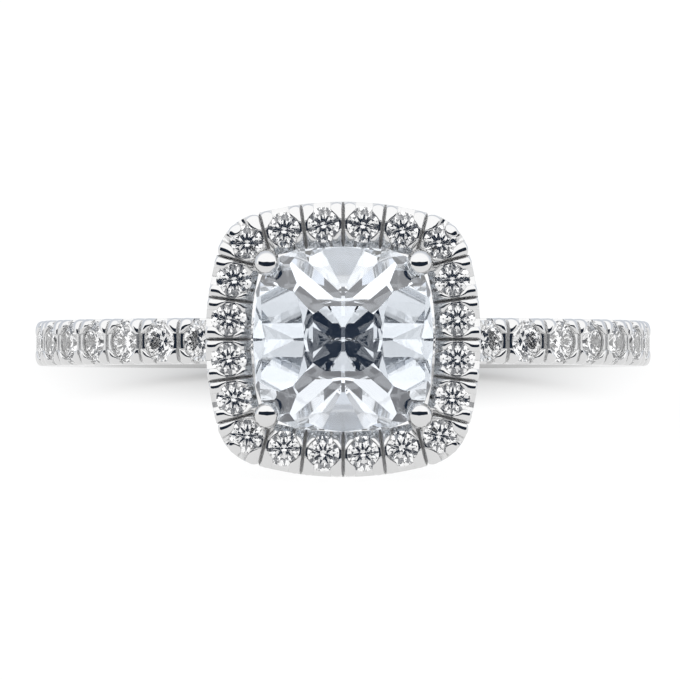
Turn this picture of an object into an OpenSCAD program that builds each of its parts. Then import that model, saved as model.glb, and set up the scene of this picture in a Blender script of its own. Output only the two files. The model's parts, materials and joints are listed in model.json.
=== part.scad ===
// Halo ring: a cushion stone in four claws, a frame of small round stones
// round it, and a shank set with round stones on both shoulders.
//
// The modules work in the ring's own frame: X across the finger, Y along the
// finger, Z up through the head, origin at the middle of the finger hole.
// lay_down() then turns the ring on its side, as it rests on a table: the head
// faces -Y and the origin is under the middle of the ring, on the table.

/* [Shank] */
// Inside diameter of the finger hole
finger_d = 17.3; // [16.5:0.1:18.5]
// Thickness of the shank, from the finger hole to the outside
shank_t = 1.7; // [1.6:0.05:1.8]
// Width of the shank along the finger
shank_w = 1.5; // [1.5:0.05:1.6]
// Radius on the outer edges of the shank and of the halo frame
edge_r = 0.25; // [0.2:0.01:0.3]
// Radius on the edges of the finger hole
comfort_r = 0.15; // [0.1:0.01:0.2]

/* [Shank stones] */
// Stones on each shoulder
side_count = 8; // [5:1:9]
// Diameter of a shank stone
side_d = 1.37; // [1.33:0.01:1.38]
// Angle between neighbouring shank stones
side_pitch = 8.6; // [8.5:0.05:9.5]
// Angle from the top of the ring to the first shank stone
side_first = 18.3; // [17:0.05:20]

/* [Halo] */
// Radius of the halo frame's bulged sides
halo_side = 10.35; // [10.3:0.05:10.45]
// Radius of its corners
halo_corner = 1.6; // [1.55:0.05:1.65]
// Width of the frame's rail
rail_w = 1.45; // [1.4:0.01:1.5]
// Height of the frame's underside above the finger's middle
rail_z = 12.3; // [12.2:0.05:12.3]
// Thickness of the frame
rail_t = 1.3; // [1.25:0.05:1.3]
// Diameter of a halo stone
halo_d = 1.15; // [1.12:0.01:1.16]

/* [Centre stone] */
// Width of the centre stone, across the finger
centre_w = 5.76; // [5.7:0.01:5.8]
// Length of the centre stone, along the finger
centre_l = 5.9; // [5.8:0.01:5.92]
// Distance from the middle to the stone's rounded corner
centre_reach = 3.45; // [3.4:0.01:3.5]
// Height of the centre stone's girdle above the finger's middle
centre_z = 13.76; // [13.74:0.01:13.8]
// Height of its crown
centre_crown = 1.02; // [1:0.01:1.04]
// Depth of its pavilion
centre_pavilion = 3.06; // [3.04:0.01:3.08]

/* [Claws] */
// Diameter of a claw's wire
claw_d = 0.7; // [0.66:0.01:0.7]
// Width of the dome at a claw's tip
claw_tip_w = 0.81; // [0.78:0.01:0.86]
// Length of that dome, along the way it leans
claw_tip_l = 1.02; // [0.96:0.01:1.06]
// Distance from the middle to a claw, along X and along Y
claw_at = 2.45; // [2.42:0.01:2.5]

/* [Hidden] */
$fn = 96;
GAP = 0.03; // air between a stone and its metal
PAST = 0.4; // how far a cutter runs past what it cuts

// Claws and the wire ring that ties them together
TIP_RISE = 0.27; // from the stone's girdle to the middle of a claw's tip
KNEE_Z = 12.7; // where a claw turns inwards
KNEE_D = 0.74; // ball that rounds this turn
FOOT = [0.72, 0.5, 9.75]; // where it ends, inside the shank
CLAW_LEAN = [10, 23]; // how far its tip leans over the stone, along X and along Y
GALLERY_Z = 11.5;
GALLERY_D = 0.6;

// Halo rail: its lower inner edge is broken, and its roof is flat along the
// middle and falls to the walls
RAIL_BREAK = 0.1;
ROOF_FLAT = 0.25; // half width of the flat
ROOF_IN = 0.125; // from a wall to where the roof turns down
ROOF_FALL = 0.13; // how far the roof has fallen there
ROOF_EDGE = 0.28; // and at the wall

// Scallops and grooves beside the small stones
SCALLOP_FROM = 0.2; // from a stone's middle to where a scallop starts
SCALLOP_FALL = 20; // how far its floor falls away from its stone
SCALLOP_SIDE = 0.06; // depths at its sides, beside them and along its middle
SCALLOP_HIP = 0.15;
SCALLOP_MIDDLE = 0.19;
SPLIT_DEPTH = 0.45; // of the grooves, and their half width PAST above the metal
SPLIT_HALF = 0.13;
SIDE_SCALLOP = 0.32; // half widths of the scallops
HALO_OUTER_SCALLOP = 0.28;
HALO_INNER_SCALLOP = 0.26;
CORNER_SCALLOP = 0.15;
CORNER_SCALLOP_AT = 14; // angle either side of the diagonal

// Centre stone: a cushion, its facets ground at these angles from the girdle. The
// mains stand over the side that faces along X, the corner and the side that faces
// along Y; a pair of halves lies between each and the next.
CENTRE_GIRDLE = 0.12;
CENTRE_MID = [0.09, 1.5]; // where halves meet on the girdle: in from the side, along it
CROWN_MAINS = [28, 28.5, 28];
CROWN_HALVES = [54, 35, 40.5, 47];
PAVILION_MAINS = [60.5, 43, 47]; // the corner mains meet at the culet
PAVILION_HALVES = [64.5, 53.5, 47, 56.5];
STAR = 19.5;
STAR_FACING = 55.5; // direction round from X
STAR_IN = 1.18; // how far it is from the middle, at the table
CENTRE_KEEL = 0.06; // half length of the polished line across the culet
SMALL = 0.00001;

// Shank: its outside is flat along the middle and falls to rounded edges, whose
// middles are edge_side off its middle line and edge_out off the finger's axis
SHANK_FLAT = 0.25; // half width of the flat
SHANK_FALL = 20; // angle at which it falls
finger_r = finger_d / 2;
shank_r = finger_r + shank_t;
edge_side = shank_w / 2 - edge_r;
edge_out = shank_r - (edge_side + edge_r * sin(SHANK_FALL) - SHANK_FLAT) * tan(SHANK_FALL)
    - edge_r * cos(SHANK_FALL);

// Round stones, as shares of their diameter
TABLE = 0.57;
CROWN = 0.15;
GIRDLE = 0.03;
PAVILION = 0.43;
STAR_REACH = 0.75; // where star facets end, as a share of the radius
LOWER_REACH = 0.24; // where lower half facets end

// How small stones sit
TABLE_PROUD = 0.02; // height of their tables over the metal
BEAD_COVER = 0.12; // how far a bead covers a stone's edge, as a share of its radius
STONE_TURN = 17; // how much further each is turned about its own axis than the last

// Halo outline: arcs of radius halo_side and halo_corner that meet where the
// outline runs along TURN, a direction whose cosine and sine are short decimals.
TURN = [0.96, 0.28];
TURN_ANGLE = atan2(TURN[1], TURN[0]);
HALO_PER_QUARTER = 5; // stones along each quarter of the frame, one at its corner
corner_c = (halo_side - halo_corner) * TURN[1];
side_back = (halo_side - halo_corner) * TURN[0] - corner_c;
halo_half = halo_side - side_back;
halo_count = 4 * HALO_PER_QUARTER;
rail_top = rail_z + rail_t;
rail_middle = rail_w / 2;
table_z = centre_z + CENTRE_GIRDLE + centre_crown;
tip_z = centre_z + TIP_RISE;
RAD = 180 / PI;
side_len = (halo_side - rail_middle) * TURN_ANGLE / RAD;
corner_len = (halo_corner - rail_middle) * (90 - 2 * TURN_ANGLE) / RAD;
halo_pitch = (2 * side_len + corner_len) / HALO_PER_QUARTER;

// Resting pose: the frame's lower rear edge and the shank's back touch the table
tilt = atan2(halo_half - shank_w / 2, rail_z + edge_r + edge_out);
lift = halo_half * cos(tilt) - (rail_z + edge_r) * sin(tilt);
centre_table = centre_l / 2 - centre_crown / tan(CROWN_MAINS[2]); // middle to its upper edge
front_y = -centre_table * sin(tilt) - table_z * cos(tilt);
back_y = SHANK_FLAT * sin(tilt) + shank_r * cos(tilt);
middle_y = (front_y + back_y) / 2;

// Turns the ring's own frame into the resting one.
module lay_down() {
    translate([0, -middle_y, lift]) rotate([90 - tilt, 0, 0]) children();
}

// Points of an arc about c, from angle a0 to a1 in n steps.
function arc(c, r, a0, a1, n) =
    [for (i = [0:n]) c + r * [cos(a0 + (a1 - a0) * i / n), sin(a0 + (a1 - a0) * i / n)]];

// Places its children on the shank's outside, at an angle from the top:
// local x along the shank, y across it, z outwards.
module on_shank(angle) {
    rotate([0, angle, 0]) translate([0, 0, shank_r]) children();
}

// Point on the rail's middle line and its outward direction, s along a quarter.
function on_quarter(s) =
    s < side_len ? on_side(s, 0)
    : s < side_len + corner_len ? on_corner(TURN_ANGLE + (s - side_len) / (halo_corner - rail_middle) * RAD)
    : on_side(s - 2 * side_len - corner_len, 90);
function on_side(s, turn) =
    let (r = halo_side - rail_middle, a = s / r * RAD)
    turn == 0 ? [r * cos(a) - side_back, r * sin(a), a] : [-r * sin(a), r * cos(a) - side_back, 90 + a];
function on_corner(a) =
    let (r = halo_corner - rail_middle) [corner_c + r * cos(a), corner_c + r * sin(a), a];

// Places its children on the halo rail's top, step stones along it:
// local x outwards, y along the rail.
module on_halo(step) {
    quarter = floor(step / HALO_PER_QUARTER);
    p = on_quarter((step - quarter * HALO_PER_QUARTER) * halo_pitch);
    rotate([0, 0, 90 * quarter]) translate([p[0], p[1], rail_top]) rotate([0, 0, p[2]]) children();
}

// Ring of n points of radius r at height z, the first at angle turn.
function ring(n, r, z, turn = 0) =
    [for (i = [0:n - 1]) [r * cos(turn + 360 * i / n), r * sin(turn + 360 * i / n), z]];

// Height of a cone line from [r0, z0] to [r1, z1] at radius r.
function on_line(r, r0, z0, r1, z1) = z0 + (z1 - z0) * (r - r0) / (r1 - r0);

// Round brilliant with 57 facets, its table at z = 0.
module round_brilliant(d) {
    r = d / 2;
    top = -CROWN * d;
    low = top - GIRDLE * d;
    culet = low - PAVILION * d;
    half = cos(22.5);
    star_z = on_line(r * STAR_REACH * half, r * TABLE, 0, r, top);
    lower_z = on_line(r * LOWER_REACH * half, 0, culet, r, low);
    points = concat(
        ring(8, r * TABLE, 0),
        ring(8, r * STAR_REACH, star_z, 22.5),
        ring(16, r, top),
        ring(16, r, low),
        ring(8, r * LOWER_REACH, lower_z, 22.5),
        [[0, 0, culet]]
    );
    star = 8;
    upper = 16;
    lower = 32;
    pav = 48;
    tip = 56;
    polyhedron(points, concat(
        [[for (i = [7:-1:0]) i]],
        [for (i = [0:7]) [i, (i + 1) % 8, star + i]],
        [for (i = [0:7]) [i, star + i, upper + 2 * i, star + (i + 7) % 8]],
        [for (i = [0:7]) [star + i, upper + 2 * i + 1, upper + 2 * i]],
        [for (i = [0:7]) [star + i, upper + (2 * i + 2) % 16, upper + 2 * i + 1]],
        [for (i = [0:15]) [upper + i, upper + (i + 1) % 16, lower + (i + 1) % 16, lower + i]],
        [for (i = [0:7]) [pav + i, lower + 2 * i, lower + 2 * i + 1]],
        [for (i = [0:7]) [pav + i, lower + 2 * i + 1, lower + (2 * i + 2) % 16]],
        [for (i = [0:7]) [tip, pav + (i + 7) % 8, lower + 2 * i, pav + i]]
    ));
}

// What is cut away for a round stone: its seat, and a way in between the beads
// that runs past the table by past.
module seat(d, past = PAST) {
    r = d / 2;
    girdle_z = TABLE_PROUD - CROWN * d;
    low = girdle_z - GIRDLE * d - GAP;
    culet = low - PAVILION * d - GAP;
    cover_r = r * (1 - BEAD_COVER);
    cover_z = on_line(cover_r, r, girdle_z, r * TABLE, TABLE_PROUD) + GAP;
    rotate_extrude() polygon([
        [0, culet],
        [r + GAP, low],
        [r + GAP, girdle_z + GAP],
        [cover_r, cover_z],
        [cover_r, past],
        [0, past]
    ]);
}

// Scallop that opens the metal beside a stone, cut along local x from x0 to x1,
// its floor falling as it goes.
module scallop(x0, x1, half_w) {
    rotate([0, SCALLOP_FALL, 0]) translate([x0, 0, 0]) rotate([90, 0, 90]) linear_extrude(x1 - x0) polygon([
        [-half_w, PAST],
        [-half_w, -SCALLOP_SIDE],
        [-0.6 * half_w, -SCALLOP_HIP],
        [0, -SCALLOP_MIDDLE],
        [0.6 * half_w, -SCALLOP_HIP],
        [half_w, -SCALLOP_SIDE],
        [half_w, PAST]
    ]);
}

// Groove that splits the metal between two stones into beads, along local x.
module split(x0, x1) {
    translate([x0, 0, 0]) rotate([90, 0, 90]) linear_extrude(x1 - x0)
        polygon([[0, -SPLIT_DEPTH], [SPLIT_HALF, PAST], [-SPLIT_HALF, PAST]]);
}

// Shank's section: distance from the finger's axis along x, along the finger in y.
module shank_section() {
    half = shank_w / 2;
    inner = finger_r + comfort_r;
    polygon(concat(
        arc([edge_out, -edge_side], edge_r, -90, -SHANK_FALL, 4),
        [[shank_r, -SHANK_FLAT], [shank_r, SHANK_FLAT]],
        arc([edge_out, edge_side], edge_r, SHANK_FALL, 90, 4),
        arc([inner, half - comfort_r], comfort_r, 90, 180, 2),
        arc([inner, comfort_r - half], comfort_r, 180, 270, 2)
    ));
}

// Shank with the seats, scallops and split beads of its stones.
module shank() {
    reach = shank_w / 2 + PAST;
    difference() {
        rotate([90, 0, 0]) rotate_extrude() shank_section();
        for (side = [-1, 1], i = [0:side_count - 1]) on_shank(side * (side_first + i * side_pitch)) {
            seat(side_d);
            for (edge = [-90, 90]) rotate([0, 0, edge]) scallop(SCALLOP_FROM, reach, SIDE_SCALLOP);
        }
        for (side = [-1, 1], i = [0:side_count]) on_shank(side * (side_first + (i - 0.5) * side_pitch))
            rotate([0, 0, 90]) split(-reach, reach);
    }
}

// Halo rail's section, its outer wall at distance r from the arc's centre.
module rail_section(r) {
    polygon(concat(
        [[r - rail_w, rail_z + RAIL_BREAK], [r - rail_w + RAIL_BREAK, rail_z]],
        arc([r - edge_r, rail_z + edge_r], edge_r, -90, 0, 3),
        [
            [r, rail_top - ROOF_EDGE],
            [r - ROOF_IN, rail_top - ROOF_FALL],
            [r - rail_middle + ROOF_FLAT, rail_top],
            [r - rail_middle - ROOF_FLAT, rail_top],
            [r - rail_w + ROOF_IN, rail_top - ROOF_FALL],
            [r - rail_w, rail_top - ROOF_EDGE]
        ]
    ));
}

// Wedge between two directions from the axis, as tall as the rail and more.
module wedge(from, to, reach) {
    translate([0, 0, rail_z - 1]) linear_extrude(rail_t + 2)
        polygon([[0, 0], reach * from, reach * (from + to), reach * to]);
}

// Rail of the halo frame: four side arcs and four corner arcs.
module rail() {
    for (quarter = [0:3]) rotate([0, 0, 90 * quarter]) {
        translate([-side_back, 0, 0]) intersection() {
            rotate([0, 0, 180]) rotate_extrude() rail_section(halo_side);
            wedge([TURN[0], -TURN[1]], TURN, 10);
        }
        translate([corner_c, corner_c, 0]) intersection() {
            rotate([0, 0, 180]) rotate_extrude() rail_section(halo_corner);
            wedge(TURN, [TURN[1], TURN[0]], 5);
        }
    }
}

// Halo frame with the seats, scallops and split beads of its stones. Beside each
// corner stone two narrower scallops leave one more bead on the diagonal.
module halo_frame() {
    corner_step = (HALO_PER_QUARTER - 1) / 2;
    difference() {
        rail();
        for (quarter = [0:3], i = [0:HALO_PER_QUARTER - 1]) on_halo(quarter * HALO_PER_QUARTER + i + 0.5) {
            seat(halo_d);
            if (i != corner_step) {
                scallop(SCALLOP_FROM, rail_middle + PAST, HALO_OUTER_SCALLOP);
                rotate([0, 0, 180]) scallop(SCALLOP_FROM, rail_middle + PAST, HALO_INNER_SCALLOP);
            }
        }
        for (quarter = [0:3], side = [-1, 1]) rotate([0, 0, 90 * quarter])
            translate([corner_c, corner_c, rail_top]) rotate([0, 0, 45 + side * CORNER_SCALLOP_AT])
                translate([halo_corner - rail_middle, 0, 0])
                    scallop(SCALLOP_FROM, rail_middle + PAST, CORNER_SCALLOP);
        for (i = [0:halo_count - 1]) on_halo(i) split(-rail_middle - PAST, rail_middle + PAST);
    }
}

// Straight wire of diameter d between two points.
module wire(from, to, d) {
    along = to - from;
    translate(from) rotate([0, acos(along[2] / norm(along)), atan2(along[1], along[0])])
        cylinder(d = d, h = norm(along));
}

// Room for the centre stone among the claws: its pavilion, girdle and crown.
module centre_room() {
    r = centre_reach + GAP;
    top = table_z + GAP;
    rotate_extrude() polygon([
        [0, centre_z - centre_pavilion - GAP],
        [r, centre_z - GAP],
        [r, centre_z + CENTRE_GIRDLE + GAP],
        [r - centre_crown / tan(CROWN_MAINS[1]), top],
        [0, top]
    ]);
}

// Tip of a claw: a dome, lathed about the way it leans.
module claw_tip() {
    rotate_extrude() polygon([for (a = [90:-15:-90]) [claw_tip_w / 2 * cos(a), claw_tip_l / 2 * sin(a)]]);
}

// Four claws: a dome over the stone's corner, an upright wire beside it, and a
// wire that runs down and inwards to the shank.
module claws() {
    difference() {
        for (x = [-1, 1], y = [-1, 1]) {
            knee = [x * claw_at, y * claw_at, KNEE_Z];
            foot = [x * FOOT[0], y * FOOT[1], FOOT[2]];
            tip = [knee[0], knee[1], tip_z];
            translate(tip) rotate([y * CLAW_LEAN[1], -x * CLAW_LEAN[0], 0]) claw_tip();
            wire(knee, tip, claw_d);
            translate(knee) sphere(d = KNEE_D);
            wire(foot, knee, claw_d);
        }
        centre_room();
        for (quarter = [0:3]) on_halo((quarter + 0.5) * HALO_PER_QUARTER) seat(halo_d, 0.1);
    }
}

// Plain wire ring that ties the claws together under the stone.
module gallery() {
    share = (GALLERY_Z - FOOT[2]) / (KNEE_Z - FOOT[2]);
    x = FOOT[0] + (claw_at - FOOT[0]) * share;
    y = FOOT[1] + (claw_at - FOOT[1]) * share;
    translate([0, 0, GALLERY_Z]) rotate_extrude() translate([norm([x, y]), 0]) circle(d = GALLERY_D);
}

// All the metal, cast and soldered into one piece.
module ring_mount() {
    color("gainsboro") {
        shank();
        halo_frame();
        claws();
        gallery();
    }
}

// Facet as its outward normal and its distance from the culet, ground at an angle
// from the girdle, facing a direction round the stone, through a point.
function facet(angle, facing, through) =
    let (normal = [sin(angle) * cos(facing), sin(angle) * sin(facing), cos(angle)])
    [normal, normal * through];

// Facet along the line from p to q, at height z.
function edge_facet(angle, p, q, z) =
    facet(angle, atan2(p[0] - q[0], q[1] - p[1]), [p[0], p[1], z]);

// Facets of a quarter of the centre stone, its culet at the origin.
function quarter_facets() =
    let (
        low = centre_pavilion,
        high = low + CENTRE_GIRDLE,
        top = high + centre_crown,
        corner = centre_reach / sqrt(2),
        girdle = [
            [centre_w / 2, 0],
            [centre_w / 2 - CENTRE_MID[0], CENTRE_MID[1]],
            [corner, corner],
            [CENTRE_MID[1], centre_l / 2 - CENTRE_MID[0]],
            [0, centre_l / 2]
        ],
        rise = tan(PAVILION_MAINS[1]) / sqrt(2)
    ) concat(
        [
            facet(0, 0, [0, 0, top]),
            facet(STAR, STAR_FACING, [STAR_IN * cos(STAR_FACING), STAR_IN * sin(STAR_FACING), top])
        ],
        [for (i = [0:2]) facet(CROWN_MAINS[i], 45 * i, [girdle[2 * i][0], girdle[2 * i][1], high])],
        [for (i = [0:3]) edge_facet(CROWN_HALVES[i], girdle[i], girdle[i + 1], high)],
        [for (i = [0:3]) edge_facet(90, girdle[i], girdle[i + 1], low)],
        [for (i = [0:3]) edge_facet(180 - PAVILION_HALVES[i], girdle[i], girdle[i + 1], low)],
        [
            facet(180 - PAVILION_MAINS[0], 0, [centre_w / 2, 0, low]),
            facet(180 - PAVILION_MAINS[1], 45, [0, 0, 0]),
            facet(180 - PAVILION_MAINS[2], 90, [0, centre_l / 2, low]),
            facet(180 - atan(rise), 90, [0, 0, CENTRE_KEEL * rise])
        ]
    );

// Whether one plane leans towards either of two others.
function leans(a, b, c) = max(abs(a[0] * b[0]), abs(a[0] * c[0])) > SMALL;

// Point where three planes meet, bulk being the product of their normals.
function meet(a, b, c, bulk) =
    (a[1] * cross(b[0], c[0]) + b[1] * cross(c[0], a[0]) + c[1] * cross(a[0], b[0])) / bulk;

// Corners of the solid inside the facets of a quarter. Two mirror planes close the
// quarter, and a corner on one of them needs a facet that leans across it.
function corners(facets) =
    let (n = len(facets), planes = concat(facets, [[[-1, 0, 0], 0], [[0, -1, 0], 0]])) [
        for (i = [0:n - 1], j = [i + 1:n], k = [j + 1:n + 1])
            let (a = planes[i], b = planes[j], c = planes[k], bulk = a[0] * cross(b[0], c[0]))
            if (abs(bulk) > SMALL && (j < n || leans(b, a, c)) && (k < n || leans(c, a, b)))
                let (p = meet(a, b, c, bulk))
                if (max([for (q = planes) q[0] * p - q[1]]) < SMALL) p
    ];

module centre_stone() {
    quarter = corners(quarter_facets());
    points = [for (x = [-1, 1], y = [-1, 1], p = quarter) [x * p[0], y * p[1], p[2]]];
    color("white") translate([0, 0, centre_z - centre_pavilion]) hull()
        polyhedron(points, [for (i = [0:len(points) - 3]) [i, i + 1, i + 2]]);
}

// Each small stone is turned about its own axis, as stones are set.
module halo_stone(i) {
    color("white") on_halo(i - 0.5) translate([0, 0, TABLE_PROUD]) rotate([0, 0, STONE_TURN * i])
        round_brilliant(halo_d);
}

module shank_stone(side, i) {
    color("white") on_shank(side * (side_first + (i - 1) * side_pitch)) translate([0, 0, TABLE_PROUD])
        rotate([0, 0, side * STONE_TURN * i]) round_brilliant(side_d);
}

lay_down() ring_mount();
lay_down() centre_stone();
for (i = [1:halo_count])
    lay_down() halo_stone(i);
for (i = [1:side_count]) {
    lay_down() shank_stone(-1, i);
    lay_down() shank_stone(1, i);
}
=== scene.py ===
"""Halo ring lying on its side on a pale floor, under soft studio light.

The metal and the stones come with the frame. This script adds the rounded
beads that hold the small stones, the polished claw tips, the finishes, with
painted light that brightens the metal's narrow cuts, the floor, with a soft
pool of painted shadow, the light and the camera. Sizes are in millimetres in
the ring's own frame: X across the finger, Y along it, Z up through the head,
origin at the middle of the finger hole. RING turns that frame into the resting one.
"""
import json
import math

import bpy
from mathutils import Matrix, Vector


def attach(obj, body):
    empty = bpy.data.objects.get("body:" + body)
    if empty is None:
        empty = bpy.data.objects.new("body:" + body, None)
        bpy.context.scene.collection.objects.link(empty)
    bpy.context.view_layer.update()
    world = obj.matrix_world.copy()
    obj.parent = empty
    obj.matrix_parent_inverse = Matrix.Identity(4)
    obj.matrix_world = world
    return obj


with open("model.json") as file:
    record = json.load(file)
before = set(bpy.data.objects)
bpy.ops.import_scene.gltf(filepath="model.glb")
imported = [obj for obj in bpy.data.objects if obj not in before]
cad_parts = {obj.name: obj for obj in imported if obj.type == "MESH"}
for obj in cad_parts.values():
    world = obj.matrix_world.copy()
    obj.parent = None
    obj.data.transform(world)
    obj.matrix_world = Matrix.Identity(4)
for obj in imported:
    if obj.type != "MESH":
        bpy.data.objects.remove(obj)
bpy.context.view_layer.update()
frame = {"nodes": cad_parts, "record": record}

MM = 0.001

# Ring frame, from the finger hole's mount
HOLE = frame["record"]["mounts"][0]
ALONG = Vector(HOLE["axis"])
ACROSS = Vector((1, 0, 0))
UP = ACROSS.cross(ALONG)
RING = Matrix.Translation(Vector(HOLE["pos_m"])) @ Matrix((ACROSS, ALONG, UP)).transposed().to_4x4()
TILT = math.asin(ALONG.y)

# Shank and its stones
SHANK_R = 10.35
SHANK_HALF = 0.75
SIDE_COUNT = 8
SIDE_D = 1.37
SIDE_PITCH = math.radians(8.6)
SIDE_FIRST = math.radians(18.3)
SIDE_SCALLOP = 0.32

# Halo rail: arcs of radius HALO_SIDE and HALO_CORNER that meet at TURN
HALO_SIDE = 10.35
HALO_CORNER = 1.6
RAIL_HALF = 0.725
RAIL_TOP = 13.6
HALO_D = 1.15
OUTER_SCALLOP = 0.28
INNER_SCALLOP = 0.26
CORNER_SCALLOP = 0.15
CORNER_SCALLOP_AT = math.radians(14)
TURN_COS, TURN_SIN = 0.96, 0.28
TURN = math.atan2(TURN_SIN, TURN_COS)
CORNER_C = (HALO_SIDE - HALO_CORNER) * TURN_SIN
SIDE_BACK = (HALO_SIDE - HALO_CORNER) * TURN_COS - CORNER_C
PER_QUARTER = 5
SIDE_LEN = (HALO_SIDE - RAIL_HALF) * TURN
CORNER_LEN = (HALO_CORNER - RAIL_HALF) * (math.pi / 2 - 2 * TURN)
HALO_PITCH = (2 * SIDE_LEN + CORNER_LEN) / PER_QUARTER

# Beads: how much of a stone's radius they cover, how far they stand from the
# middle of their slot, and how far past the metal under them
BEAD_COVER = 0.12
BEAD_SLOT = 0.05
BEAD_MORE = 0.016

# Form of a bead: how steep its sides end, how far its far corner is cut back, its
# least half width, the least share of it at the nose, and how a domed crest rises
BEAD_STEEP = math.radians(84)
BEAD_CORNER = 0.06
BEAD_LEAST = 0.02
NOSE_LEAST = 0.05
DOME_RISE = math.radians(9)

# Root of a bead, sunk in the metal: how far in from the nose it starts, how much
# shorter it is, its share of the bead's width, its height, and where it starts to
# go down to the foot and over what distance
ROOT_IN = 0.04
ROOT_SHORT = 0.12
ROOT_SHARE = 0.97
ROOT_Z = -0.11
FOOT_FROM = 0.35
FOOT_OVER = 0.2

# Halo beads: where they start towards the outer and the inner wall, their height,
# how far past the wall they reach, and how much less they do at the head's top edge
HALO_BEAD_OUTER = 0.12
HALO_BEAD_INNER = 0.14
HALO_BEAD_TOP = 0.1
HALO_BEAD_PAST = 0.01
TOPMOST_LESS = 0.03
TOPMOST_POWER = 8
INNER_CORNER_WALL = 0.3

# The one broad bead outside each corner stone
CORNER_BEAD_HALF = 0.235
CORNER_BEAD_START = 0.34
CORNER_BEAD_NOSE = 0.1
CORNER_BEAD_BLUNT = 0.22

# Shank beads: where they start, their height and how far past the edge they reach,
# then their slope in degrees, the rounding of their edge, their foot and their
# crest's radius, and the share of a pitch that they reach towards the next stone
SHANK_BEAD_START = 0.24
SHANK_BEAD_TOP = 0.08
SHANK_BEAD_PAST = 0.005
SHANK_BEAD_SLOPE = 20
SHANK_BEAD_ROLL = 0.2
SHANK_BEAD_FOOT = -0.4
SHANK_BEAD_DOME = 0.6
SHANK_BEAD_REACH = 0.3

# Claw tips, and how far they lean over the stone for each mm of height
CLAW_AT = 2.45
TIP_Z = 14.03
TIP_WIDE = 0.425
TIP_TALL = 0.505
TIP_SQUARE = 0.93
TIP_LEAN = (0.066, 0.142)
TIP_AROUND = 48
TIP_RINGS = 32

# Room that the centre stone needs: distances from the middle and their heights,
# and how far the claw tips may reach into it
ROOM = [(0, 10.67), (3.48, 13.73), (3.48, 13.91), (1.6, 14.93)]
ROOM_REACH = 0.012


# Mesh tools

def frame_at(origin, x_axis, z_axis):
    """Matrix of a local frame in the ring's frame, its y axis to the left of x."""
    x, z = Vector(x_axis).normalized(), Vector(z_axis).normalized()
    return Matrix.Translation(Vector(origin)) @ Matrix((x, z.cross(x), z)).transposed().to_4x4()


class Shape:
    """Collects closed lofts, given in the ring's frame, into one piece."""

    def __init__(self):
        self.points, self.faces = [], []

    def loft(self, loops, place):
        """Solid through loops of equally many points, closed at both ends."""
        start, size = len(self.points), len(loops[0])
        for loop in loops:
            self.points += [RING @ (place @ Vector(p) * MM) for p in loop]
        for i in range(len(loops) - 1):
            for j in range(size):
                a, b = start + i * size, start + (i + 1) * size
                k = (j + 1) % size
                self.faces.append((a + j, a + k, b + k, b + j))
        last = start + (len(loops) - 1) * size
        self.faces.append(tuple(start + j for j in reversed(range(size))))
        self.faces.append(tuple(last + j for j in range(size)))

    def piece(self, name, material, sharp=50):
        mesh = bpy.data.meshes.new(name)
        mesh.from_pydata(self.points, [], self.faces)
        mesh.materials.append(material)
        mesh.polygons.foreach_set("use_smooth", [True] * len(mesh.polygons))
        mesh.set_sharp_from_angle(angle=math.radians(sharp))
        mesh.update()
        obj = bpy.data.objects.new(name, mesh)
        bpy.context.scene.collection.objects.link(obj)
        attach(obj, "root")
        return obj


# Materials

# Metal: how bright it is, how rough its polish is at least and at most, the grain
# of that, and how much the mount's edges are broken
METAL_BRIGHT = 0.68
POLISH = (0.03, 0.1)
GRAIN_SCALE, GRAIN_DETAIL = 900, 6
MOUNT_EDGE = 0.03
EDGE_SAMPLES = 4

# Narrow cuts in it: how far their walls shade each other, how matte they are, how bright
# the painted light that lifts their colour is, and how open to the light a place is deep in a cut and
# outside it
CUT_REACH = 0.25
CUT_ROUGH = 0.45
CUT_PAINTED_LIGHT = 0.96
CUT_OPEN = (0.3, 0.7)
CUT_SAMPLES = 8

# Diamonds
DIAMOND_IOR = 2.417
CENTRE_TINT = (0.86, 0.91, 0.97, 1)
SMALL_TINT = (1, 1, 1, 1)


def new_material(name):
    material = bpy.data.materials.new(name)
    material.use_nodes = True
    nodes, links = material.node_tree.nodes, material.node_tree.links
    return material, nodes, links, nodes["Principled BSDF"]


def white_gold(name, edge=0.0):
    """Polished white gold, its edges broken by that radius, matte inside narrow cuts, where painted light
    makes its colour brighter.
    """
    material, nodes, links, shader = new_material(name)
    shader.inputs["Metallic"].default_value = 1
    coords = nodes.new("ShaderNodeTexCoord")
    grain = nodes.new("ShaderNodeTexNoise")
    grain.inputs["Scale"].default_value = GRAIN_SCALE
    grain.inputs["Detail"].default_value = GRAIN_DETAIL
    links.new(coords.outputs["Object"], grain.inputs["Vector"])
    rough = nodes.new("ShaderNodeMapRange")
    rough.inputs["To Min"].default_value = POLISH[0]
    rough.inputs["To Max"].default_value = POLISH[1]
    links.new(grain.outputs["Fac"], rough.inputs["Value"])
    open_sky = nodes.new("ShaderNodeAmbientOcclusion")
    open_sky.samples = CUT_SAMPLES
    open_sky.inputs["Distance"].default_value = CUT_REACH * MM

    def from_cut(deep, outside):
        """Value that goes from one deep in a cut to another outside it."""
        blend = nodes.new("ShaderNodeMapRange")
        blend.inputs["From Min"].default_value = CUT_OPEN[0]
        blend.inputs["From Max"].default_value = CUT_OPEN[1]
        blend.inputs["To Min"].default_value = deep
        blend.inputs["To Max"].default_value = outside
        links.new(open_sky.outputs["AO"], blend.inputs["Value"])
        return blend.outputs["Result"]

    total = nodes.new("ShaderNodeMath")
    total.operation = "ADD"
    links.new(rough.outputs["Result"], total.inputs[0])
    links.new(from_cut(CUT_ROUGH, 0), total.inputs[1])
    links.new(total.outputs["Value"], shader.inputs["Roughness"])
    # Painted light: the metal's colour is brighter deep in narrow cuts, where shade falls.
    links.new(from_cut(CUT_PAINTED_LIGHT, METAL_BRIGHT), shader.inputs["Base Color"])
    if edge:
        bevel = nodes.new("ShaderNodeBevel")
        bevel.samples = EDGE_SAMPLES
        bevel.inputs["Radius"].default_value = edge * MM
        links.new(bevel.outputs["Normal"], shader.inputs["Normal"])
    return material


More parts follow.
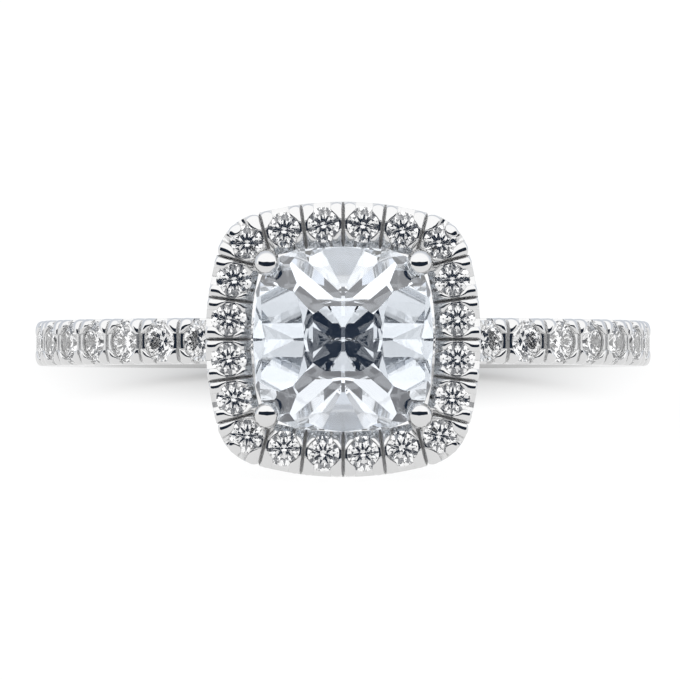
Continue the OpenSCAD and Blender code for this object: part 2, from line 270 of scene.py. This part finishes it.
def diamond(name, tint):
    material, _, _, shader = new_material(name)
    shader.inputs["Base Color"].default_value = tint
    shader.inputs["Roughness"].default_value = 0
    shader.inputs["IOR"].default_value = DIAMOND_IOR
    shader.inputs["Transmission Weight"].default_value = 1
    return material


# Beads of the halo and the shank

def bead_path(start, end, top, slope, nose, roll, foot, dome):
    """Crest of a bead: up over its nose, down a slope, over the edge and down the wall.

    The crest begins level and bends down to its slope on an arc of radius dome.
    Gives ((distance, height), (normal's distance, normal's height)) of each point.
    """
    path = []
    tilt = math.radians(slope)
    rise = DOME_RISE if dome else -tilt

    def turn(centre, radius, first, last, steps):
        for i in range(steps + 1):
            a = first + (last - first) * i / steps
            n = (math.cos(a), math.sin(a))
            path.append(((centre[0] + radius * n[0], centre[1] + radius * n[1]), n))

    bulge = max(dome, nose) - nose
    nose_c = (start + nose, top - nose - bulge * (1 - math.cos(rise)))
    turn(nose_c, nose, math.pi, math.pi / 2 + rise, 6)
    if dome:
        dome_c = (nose_c[0] + bulge * math.sin(rise), nose_c[1] - bulge * math.cos(rise))
        path.pop()
        turn(dome_c, dome, math.pi / 2 + rise, math.pi / 2 - tilt, 6)
    first = path[-1][0]
    run = (end - roll + roll * math.sin(tilt)) - first[0]
    roll_c = (end - roll, first[1] - run * math.tan(tilt) - roll * math.cos(tilt))
    for i in range(1, 4):
        x, z = first[0] + run * i / 4, first[1] - run * i / 4 * math.tan(tilt)
        path.append(((x, z), (math.sin(tilt), math.cos(tilt))))
    turn(roll_c, roll, math.pi / 2 - tilt, 0, 6)
    path.append(((end, foot), (1, 0)))
    return path


def arch(half_w, shoulder, spread):
    """Half section of a bead from its crest: (sideways, down) offsets."""
    spread = math.radians(spread)
    radius = (half_w - shoulder * (math.sin(BEAD_STEEP) - math.sin(spread))) / math.sin(spread)
    points = []
    for i in range(5):
        a = spread * i / 4
        points.append((radius * math.sin(a), radius * (1 - math.cos(a))))
    side, down = points[-1]
    for i in range(1, 5):
        a = spread + (BEAD_STEEP - spread) * i / 4
        points.append((side + shoulder * (math.sin(a) - math.sin(spread)),
                       down + shoulder * (math.cos(spread) - math.cos(a))))
    return points


def far_side(stone, radius, wall, slope):
    """Far side of a bead: a scallop's wall, or the edge of the stone that it covers."""
    cover = radius * (1 - BEAD_COVER)

    def far(x):
        edge = wall + slope * x
        reach = cover ** 2 - (x - stone[0]) ** 2
        if reach > 0:
            edge = min(edge, stone[1] - math.sqrt(reach))
        return edge
    return far


def bead(shape, place, hand, far, start, end, top, slope=23, nose=0.06, blunt=0.1, roll=0.17,
         foot=-0.5, shoulder=0.035, spread=30, dome=0):
    """One bead along local x, on the slot's left (hand 1), its right (-1) or alone (0).

    Its nose widens over the distance blunt, and its far corner is rounded off.
    """
    path = bead_path(start, end, top, slope, nose, roll, foot, dome)
    loops = []
    for i, (point, normal) in enumerate(path):
        x = point[0]
        rounding = math.sqrt(min(1, max(NOSE_LEAST, (x - start) / blunt)))
        corner = BEAD_CORNER * max(0, 1 - (end - x) / roll) ** 2
        near = BEAD_SLOT if hand else -far(x) + corner
        half_w = max(BEAD_LEAST, (far(x) - corner - near) / 2 * rounding)
        middle = hand * (near + half_w)
        half = arch(half_w, min(shoulder, 0.4 * half_w), spread)
        low_x = start + ROOT_IN + (end - start - ROOT_SHORT) * i / (len(path) - 1)
        low_z = ROOT_Z + (foot - ROOT_Z) * min(1, max(0, (low_x - FOOT_FROM) / FOOT_OVER))
        loop = [(low_x, middle - half_w * ROOT_SHARE, low_z)]
        for side, down in reversed(half[1:]):
            loop.append((x - normal[0] * down, middle - side, point[1] - normal[1] * down))
        for side, down in half:
            loop.append((x - normal[0] * down, middle + side, point[1] - normal[1] * down))
        loop.append((low_x, middle + half_w * ROOT_SHARE, low_z))
        loops.append(loop)
    shape.loft(loops, place)


def on_quarter(s):
    """Point on the rail's middle line and its outward angle, s along a quarter."""
    if s < SIDE_LEN:
        return on_side(s, False)
    if s < SIDE_LEN + CORNER_LEN:
        return on_corner(TURN + (s - SIDE_LEN) / (HALO_CORNER - RAIL_HALF))
    return on_side(s - 2 * SIDE_LEN - CORNER_LEN, True)


def on_side(s, turned):
    radius = HALO_SIDE - RAIL_HALF
    a = s / radius
    if turned:
        return -radius * math.sin(a), radius * math.cos(a) - SIDE_BACK, math.pi / 2 + a
    return radius * math.cos(a) - SIDE_BACK, radius * math.sin(a), a


def on_corner(a):
    radius = HALO_CORNER - RAIL_HALF
    return CORNER_C + radius * math.cos(a), CORNER_C + radius * math.sin(a), a


def halo_place(quarter, spot, outward=True):
    """Local frame on the rail: x towards the outer or the inner wall, z up."""
    x, y, a = spot
    turn = Matrix.Rotation(quarter * math.pi / 2, 4, "Z")
    out = Vector((math.cos(a), math.sin(a), 0)) * (1 if outward else -1)
    return turn @ frame_at((x, y, RAIL_TOP), out, (0, 0, 1))


def side_fars():
    """Far sides of the beads along the halo's sides: outer and inner."""
    radius = HALO_SIDE - RAIL_HALF
    step = HALO_PITCH / 2 / radius
    stone = (radius * (math.cos(step) - 1), radius * math.sin(step))

    def far(scallop, way):
        wall = radius * math.tan(step) - scallop / math.cos(step) + BEAD_MORE
        return far_side((way * stone[0], stone[1]), HALO_D / 2, wall, way * math.tan(step))
    return far(OUTER_SCALLOP, 1), far(INNER_SCALLOP, -1)


def corner_fars():
    """Far sides of the beads beside a corner stone, seen from the slot before it: outer and inner."""
    slot = halo_place(0, on_quarter(2 * HALO_PITCH)).inverted()
    stone = slot @ Vector((*on_corner(math.pi / 4)[:2], RAIL_TOP))
    a = math.pi / 4 - CORNER_SCALLOP_AT
    out, aside = Vector((math.cos(a), math.sin(a), 0)), Vector((math.sin(a), -math.cos(a), 0))
    corner = Vector((CORNER_C, CORNER_C, RAIL_TOP)) + aside * (CORNER_SCALLOP - BEAD_MORE)
    near, far = slot @ (corner + out * (HALO_CORNER - RAIL_HALF)), slot @ (corner + out * HALO_CORNER)
    slope = (far.y - near.y) / (far.x - near.x)
    outer = far_side(stone, HALO_D / 2, near.y - slope * near.x, slope)
    return outer, far_side((-stone.x, stone.y), HALO_D / 2, INNER_CORNER_WALL, 0)


def halo_beads(material):
    """Two beads each side of every halo slot, and one outside each corner stone."""
    shape = Shape()
    outer_side, inner_side = side_fars()
    outer_corner, inner_corner = corner_fars()
    for quarter in range(4):
        for k in range(PER_QUARTER):
            spot = on_quarter(k * HALO_PITCH)
            topmost = max(0, math.sin(spot[2] + quarter * math.pi / 2)) ** TOPMOST_POWER
            wall = RAIL_HALF + HALO_BEAD_PAST - TOPMOST_LESS * topmost
            for hand in (-1, 1):
                by_corner = (k == 2 and hand == 1) or (k == 3 and hand == -1)
                outer, inner = (outer_corner, inner_corner) if by_corner else (outer_side, inner_side)
                bead(shape, halo_place(quarter, spot), hand, outer,
                     HALO_BEAD_OUTER, wall, HALO_BEAD_TOP)
                bead(shape, halo_place(quarter, spot, False), -hand, inner,
                     HALO_BEAD_INNER, wall, HALO_BEAD_TOP)
        diagonal = halo_place(quarter, on_corner(math.pi / 4))
        bead(shape, diagonal, 0, lambda x: CORNER_BEAD_HALF, CORNER_BEAD_START,
             RAIL_HALF + HALO_BEAD_PAST, HALO_BEAD_TOP, nose=CORNER_BEAD_NOSE, blunt=CORNER_BEAD_BLUNT)
    return shape.piece("halo_beads", material)


def shank_place(angle, edge):
    """Local frame on the shank: x towards one edge of it, z outwards."""
    out = Vector((math.sin(angle), 0, math.cos(angle)))
    return frame_at(out * SHANK_R, (0, edge, 0), out)


def shank_beads(material):
    """Beads between the shank's stones, kept lower where they would widen the ring."""
    shape = Shape()
    stone = (0, SHANK_R * math.sin(SIDE_PITCH / 2))
    far = far_side(stone, SIDE_D / 2, stone[1] - SIDE_SCALLOP + BEAD_MORE, 0)
    for i in range(SIDE_COUNT + 1):
        angle = SIDE_FIRST + (i - 0.5) * SIDE_PITCH
        widest = min(math.pi / 2, angle + SIDE_PITCH * SHANK_BEAD_REACH)
        room = SHANK_R / math.sin(widest) - SHANK_R
        for side in (-1, 1):
            for edge in (-1, 1):
                place = shank_place(side * angle, edge)
                for hand in (-1, 1):
                    bead(shape, place, hand, far, SHANK_BEAD_START, SHANK_HALF + SHANK_BEAD_PAST,
                         min(SHANK_BEAD_TOP, room), slope=SHANK_BEAD_SLOPE, roll=SHANK_BEAD_ROLL,
                         foot=SHANK_BEAD_FOOT, dome=SHANK_BEAD_DOME)
    return shape.piece("shank_beads", material)


# Claw tips

def clear_of_stone(point):
    """Moves a point that would be inside the centre stone's room out to its edge."""
    across = math.hypot(point.x, point.y)
    for (r0, z0), (r1, z1) in zip(ROOM, ROOM[1:]):
        if z0 <= point.z < z1:
            edge = r0 + (r1 - r0) * (point.z - z0) / (z1 - z0) - ROOM_REACH
            if across < edge:
                return Vector((point.x * edge / across, point.y * edge / across, point.z))
    return point


def claw_tips(material):
    """Polished domes over the claws' tips."""
    corners = [("right_upper", 1, 1), ("left_upper", -1, 1), ("right_lower", 1, -1), ("left_lower", -1, -1)]
    for name, x, y in corners:
        loops = []
        for i in range(1, TIP_RINGS):
            a = math.pi * i / TIP_RINGS - math.pi / 2
            across = TIP_WIDE * math.cos(a) ** TIP_SQUARE
            up = TIP_TALL * math.copysign(abs(math.sin(a)) ** TIP_SQUARE, math.sin(a))
            middle = Vector((x * (CLAW_AT - TIP_LEAN[0] * up), y * (CLAW_AT - TIP_LEAN[1] * up), TIP_Z + up))
            loops.append([clear_of_stone(middle + across * Vector((math.cos(b), math.sin(b), 0)))
                          for b in (2 * math.pi * j / TIP_AROUND for j in range(TIP_AROUND))])
        shape = Shape()
        shape.loft(loops, Matrix.Identity(4))
        shape.piece("claw_tip_" + name, material, sharp=80)


# Finishes of the frame's own pieces, the metal's with painted light in its narrow cuts

def dress_frame(metal, centre, small):
    finishes = {"ring_mount": metal, "centre_stone": centre}
    for name, node in frame["nodes"].items():
        for slot in node.material_slots:
            slot.material = finishes.get(name, small)


# Floor, light and camera

# Camera: the photo's width, the shank's middle in it and its scale there in pixels,
# how much lower than the lean of the finger's axis it stands, its lens and sensor,
# and the nearest and farthest that it sees, in metres
PHOTO_PX = 680
BAND_CENTRE_PX = (343, 344)
PX_PER_MM = 29.66
ELEVATION = TILT - math.radians(0.68)
LENS = 400
SENSOR = 36
CLIP = (0.01, 10)

# Tent: its colour and strength, the dark slot's half height and half width, how
# soft its long edges and how steep its ends are, and its colour
TENT = (1, 1, 1, 1)
TENT_STRENGTH = 1.4
SLOT_HALF_HIGH = math.radians(19)
SLOT_HALF_WIDE = math.radians(85)
SLOT_SOFT = 0.03
SLOT_STEEP = 20
SLOT_COLOUR = (0.012, 0.018, 0.03, 1)

# Far side of the tent: its colour, how steeply it comes in and how late
FAR_SIDE = (0.58, 0.61, 0.66, 1)
FAR_STEEP = 3
FAR_LATE = 0.2

# Floor: its extent, the middle, radii and edge of a soft pool of painted shadow,
# and how pale and how bright the floor is in that painted shadow and in the rest, where it glows evenly
# white
FLOOR_ASIDE, FLOOR_FRONT, FLOOR_BACK = 400, -46, 900
SHADOW_POOL_Y, SHADOW_POOL_X_R, SHADOW_POOL_Y_R = 13, 13, 13
SHADOW_POOL_EDGE = (0.1, 1.0)
SHADOW_POOL_PALE, FLOOR_PALE = 0.26, 0.1
SHADOW_POOL_GLOW, FLOOR_GLOW = 0.27, 0.93
FLOOR_WHITE = (1, 1, 1, 1)

# Light paths
BOUNCES = 32
GLOSSY_BOUNCES = 16


def floor():
    """White floor that glows, except in a soft pool of painted shadow behind the ring's head, where it is
    paler and glows less.
    """
    corners = [(-FLOOR_ASIDE, FLOOR_FRONT), (FLOOR_ASIDE, FLOOR_FRONT),
               (FLOOR_ASIDE, FLOOR_BACK), (-FLOOR_ASIDE, FLOOR_BACK)]
    mesh = bpy.data.meshes.new("floor")
    mesh.from_pydata([Vector((x, y, 0)) * MM for x, y in corners], [], [(0, 1, 2, 3)])
    material, nodes, links, shader = new_material("floor")
    shader.inputs["Roughness"].default_value = 1
    shader.inputs["Specular IOR Level"].default_value = 0
    coords = nodes.new("ShaderNodeTexCoord")
    shadow_pool = nodes.new("ShaderNodeMapping")
    shadow_pool.vector_type = "TEXTURE"
    shadow_pool.inputs["Location"].default_value = (0, SHADOW_POOL_Y * MM, 0)
    shadow_pool.inputs["Scale"].default_value = (SHADOW_POOL_X_R * MM, SHADOW_POOL_Y_R * MM, 1)
    links.new(coords.outputs["Object"], shadow_pool.inputs["Vector"])
    distance = nodes.new("ShaderNodeVectorMath")
    distance.operation = "LENGTH"
    links.new(shadow_pool.outputs["Vector"], distance.inputs[0])

    def from_shadow_pool(inside, outside, socket):
        """Gives a socket one value in the middle of the painted shadow and another outside it."""
        blend = nodes.new("ShaderNodeMapRange")
        blend.interpolation_type = "SMOOTHSTEP"
        blend.inputs["From Min"].default_value = SHADOW_POOL_EDGE[0]
        blend.inputs["From Max"].default_value = SHADOW_POOL_EDGE[1]
        blend.inputs["To Min"].default_value = inside
        blend.inputs["To Max"].default_value = outside
        links.new(distance.outputs["Value"], blend.inputs["Value"])
        links.new(blend.outputs["Result"], shader.inputs[socket])

    # Painted shadow: the floor's colour and glow drop in a soft pool behind the ring's head.
    from_shadow_pool(SHADOW_POOL_PALE, FLOOR_PALE, "Base Color")
    from_shadow_pool(SHADOW_POOL_GLOW, FLOOR_GLOW, "Emission Strength")
    shader.inputs["Emission Color"].default_value = FLOOR_WHITE
    mesh.materials.append(material)
    obj = bpy.data.objects.new("floor", mesh)
    bpy.context.scene.collection.objects.link(obj)


def camera():
    """Long lens in front of the head, placed by the photo's pixels."""
    data = bpy.data.cameras.new("camera")
    data.lens = LENS
    data.sensor_width = SENSOR
    obj = bpy.data.objects.new("camera", data)
    bpy.context.scene.collection.objects.link(obj)
    back = Vector((0, -math.cos(ELEVATION), math.sin(ELEVATION)))
    up = Vector((0, math.sin(ELEVATION), math.cos(ELEVATION)))
    distance = PHOTO_PX / PX_PER_MM * LENS / SENSOR * MM
    aside = (PHOTO_PX / 2 - BAND_CENTRE_PX[0]) / PX_PER_MM * MM
    higher = (BAND_CENTRE_PX[1] - PHOTO_PX / 2) / PX_PER_MM * MM
    target = RING.translation + Vector((1, 0, 0)) * aside + up * higher
    obj.location = target + back * distance
    obj.rotation_mode = "QUATERNION"
    obj.rotation_quaternion = (-back).to_track_quat("-Z", "Y")
    data.clip_start, data.clip_end = CLIP
    bpy.context.scene.camera = obj


def studio():
    """White tent with a dark slot on the camera's side and a blue-grey far side."""
    world = bpy.data.worlds.new("studio")
    bpy.context.scene.world = world
    world.use_nodes = True
    nodes, links = world.node_tree.nodes, world.node_tree.links

    def math_node(kind, *values, clamp=False):
        node = nodes.new("ShaderNodeMath")
        node.operation = kind
        node.use_clamp = clamp
        for socket, value in zip(node.inputs, values):
            if isinstance(value, (int, float)):
                socket.default_value = value
            else:
                links.new(value, socket)
        return node.outputs[0]

    def along(direction):
        node = nodes.new("ShaderNodeVectorMath")
        node.operation = "DOT_PRODUCT"
        links.new(coords.outputs["Generated"], node.inputs[0])
        node.inputs[1].default_value = direction
        return node.outputs["Value"]

    coords = nodes.new("ShaderNodeTexCoord")
    towards = along((0, -math.cos(ELEVATION), math.sin(ELEVATION)))
    higher = along((0, math.sin(ELEVATION), math.cos(ELEVATION)))
    band = math_node("MULTIPLY_ADD", math_node("ABSOLUTE", higher), -1 / SLOT_SOFT,
                     math.sin(SLOT_HALF_HIGH) / SLOT_SOFT, clamp=True)
    front = math_node("MULTIPLY_ADD", towards, SLOT_STEEP,
                      -SLOT_STEEP * math.cos(SLOT_HALF_WIDE), clamp=True)
    dark = math_node("MULTIPLY", band, front)
    behind = math_node("MULTIPLY_ADD", towards, -FAR_STEEP, -FAR_LATE, clamp=True)
    path = nodes.new("ShaderNodeLightPath")
    unseen = math_node("SUBTRACT", 1, path.outputs["Is Camera Ray"])

    def mix(share, start, colour):
        """Blends a colour over the tent's, or over an earlier blend, for all but the camera's own rays."""
        node = nodes.new("ShaderNodeMix")
        node.data_type = "RGBA"
        links.new(math_node("MULTIPLY", share, unseen), node.inputs["Factor"])
        if start:
            links.new(start, node.inputs["A"])
        else:
            node.inputs["A"].default_value = TENT
        node.inputs["B"].default_value = colour
        return node.outputs["Result"]

    far_side = mix(behind, None, FAR_SIDE)
    background = nodes["Background"]
    links.new(mix(dark, far_side, SLOT_COLOUR), background.inputs["Color"])
    background.inputs["Strength"].default_value = TENT_STRENGTH


def render_settings():
    scene = bpy.context.scene
    scene.view_settings.view_transform = "Standard"
    scene.cycles.max_bounces = BOUNCES
    scene.cycles.transmission_bounces = BOUNCES
    scene.cycles.glossy_bounces = GLOSSY_BOUNCES


metal = white_gold("white_gold_mount", edge=MOUNT_EDGE)
bead_metal = white_gold("white_gold_beads")
centre_diamond = diamond("centre_diamond", CENTRE_TINT)
small_diamond = diamond("small_diamond", SMALL_TINT)
dress_frame(metal, centre_diamond, small_diamond)
halo_beads(bead_metal)
shank_beads(bead_metal)
claw_tips(bead_metal)
floor()
camera()
studio()
render_settings()
